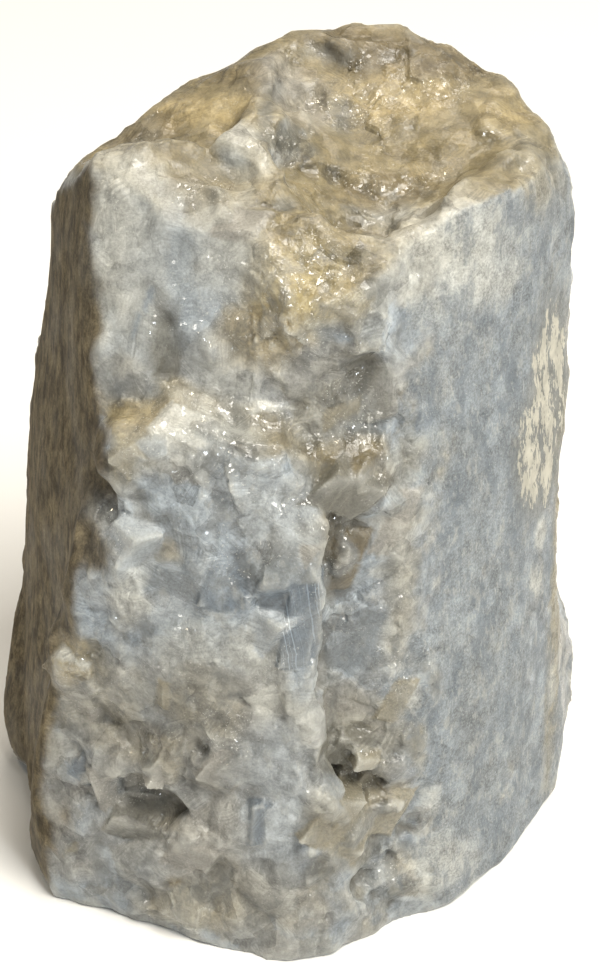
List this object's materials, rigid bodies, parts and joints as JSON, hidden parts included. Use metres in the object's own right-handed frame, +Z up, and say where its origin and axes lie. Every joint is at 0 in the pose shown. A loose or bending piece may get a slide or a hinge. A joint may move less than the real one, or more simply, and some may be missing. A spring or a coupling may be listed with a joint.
{
  "type": "rough blue calcite",
  "caption": "Standing rough block of coarse blue-grey calcite with a dished top, a broken crystalline front and two flat joint faces.",
  "frame": {"origin": "centre of the stone's bounding box at its resting spot", "axes": "+Z up, -Y towards the broken front, +X towards the frosted joint face on the right"},
  "size_m": [0.1236, 0.1046, 0.1617],
  "materials": {
    "calcite": "coarse broken calcite, translucent blue-grey with cream stain, glinting cleavage faces on the fractures and a frosted skin on the joint faces"
  },
  "bodies": {
    "root": {"calcite": "calcite"}
  },
  "joints": []
}
